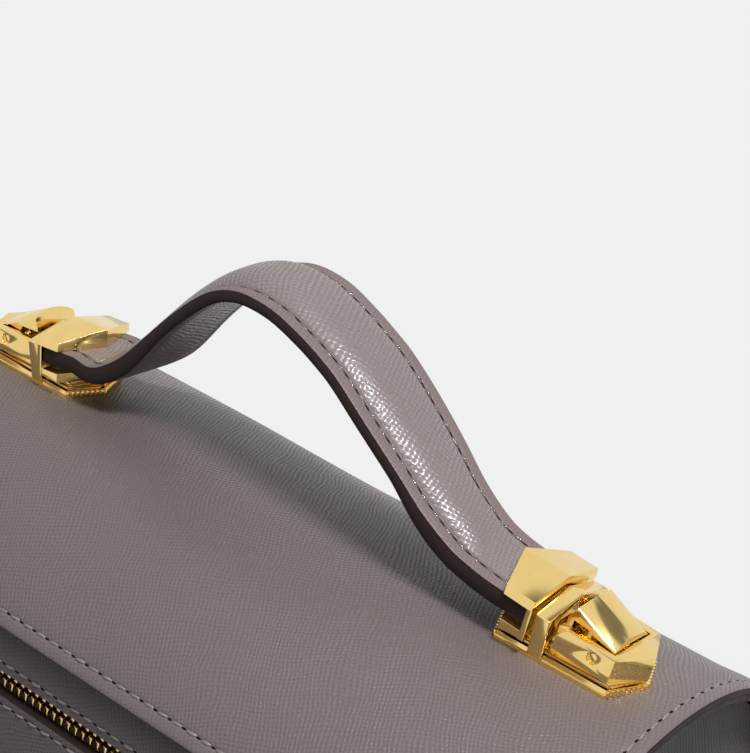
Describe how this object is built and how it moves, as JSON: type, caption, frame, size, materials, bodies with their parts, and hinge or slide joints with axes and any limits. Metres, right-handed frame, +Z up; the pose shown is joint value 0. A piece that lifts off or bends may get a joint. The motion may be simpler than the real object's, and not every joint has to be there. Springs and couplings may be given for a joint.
{
  "type": "handbag",
  "caption": "Boxy leather handbag with a barrel-shaped flap, a padded top handle held in faceted metal fittings with sprung catches, and a zipped front pocket.",
  "frame": {"origin": "on the ground under the middle of the handle, on the plane of the flap's crown", "axes": "the zipped front faces -Y; +X is to the right as seen from the front, +Y to the back, +Z up"},
  "size_m": [0.204, 0.1075, 0.2479],
  "materials": {
    "body_leather": "cross-grained, semi-matt",
    "gusset_leather": "cross-grained, semi-matt, darker",
    "flap_leather": "cross-grained, semi-matt",
    "lining_leather": "smooth, matt",
    "fibre_board": "plain pressed fibre",
    "felt_core": "plain felt",
    "zip_tape": "woven, matt",
    "gold_metal": "polished, pale gold plate",
    "plain_steel": "plain"
  },
  "bodies": {
    "bag_body": {"front_panel": "body_leather", "back_panel": "body_leather", "gusset_left": "gusset_leather", "gusset_right": "gusset_leather", "base_panel": "body_leather", "base_board": "fibre_board", "body_lining": "lining_leather", "slip_pocket": "lining_leather", "zip_pouch": "lining_leather", "zip_tapes": "zip_tape", "zip_teeth": "gold_metal", "zip_stops": "gold_metal", "snap_sockets": "gold_metal"},
    "zip_slider": {"zip_slider": "gold_metal"},
    "zip_pull": {"zip_pull": "gold_metal"},
    "flap": {"flap_leather": "flap_leather", "flap_board": "fibre_board", "flap_lining": "lining_leather", "snap_studs": "gold_metal", "handle_upper": "flap_leather", "handle_core": "felt_core", "handle_lower": "flap_leather", "base_plate_left": "gold_metal", "base_plate_right": "gold_metal", "backing_plate_left": "plain_steel", "backing_plate_right": "plain_steel", "strap_clamp_left": "gold_metal", "strap_clamp_right": "gold_metal", "collar_left": "gold_metal", "collar_right": "gold_metal", "catch_box_left": "gold_metal", "catch_box_right": "gold_metal", "pivot_pin_left": "gold_metal", "pivot_pin_right": "gold_metal", "catch_spring_left": "plain_steel", "catch_spring_right": "plain_steel", "fixing_screws_left": "plain_steel", "fixing_screws_right": "plain_steel"},
    "catch_lever_left": {"catch_lever_left": "gold_metal"},
    "catch_lever_right": {"catch_lever_right": "gold_metal"}
  },
  "joints": [
    {"name": "flap_hinge", "type": "hinge", "parent": "bag_body", "child": "flap", "pos_m": [0, 0.0525, 0.16891], "axis": [-1, 0, 0], "range_deg": [0, 140]},
    {"name": "catch_lever_left_press", "type": "hinge", "parent": "flap", "child": "catch_lever_left", "pos_m": [-0.08312, 0, 0.20591], "axis": [0, 1, 0], "range_deg": [0, 20], "stiffness_Nm_per_rad": 0.05, "springref_deg": -20.05},
    {"name": "catch_lever_right_press", "type": "hinge", "parent": "flap", "child": "catch_lever_right", "pos_m": [0.08312, 0, 0.20591], "axis": [0, -1, 0], "range_deg": [0, 20], "stiffness_Nm_per_rad": 0.05, "springref_deg": -20.05},
    {"name": "zip_run", "type": "slide", "parent": "bag_body", "child": "zip_slider", "axis": [-1, 0, 0], "range_m": [0, 0.142]},
    {"name": "zip_pull_swing", "type": "hinge", "parent": "zip_slider", "child": "zip_pull", "pos_m": [0.0711, -0.0535, 0.1582], "axis": [0, 0, 1], "range_deg": [0, 170]}
  ]
}
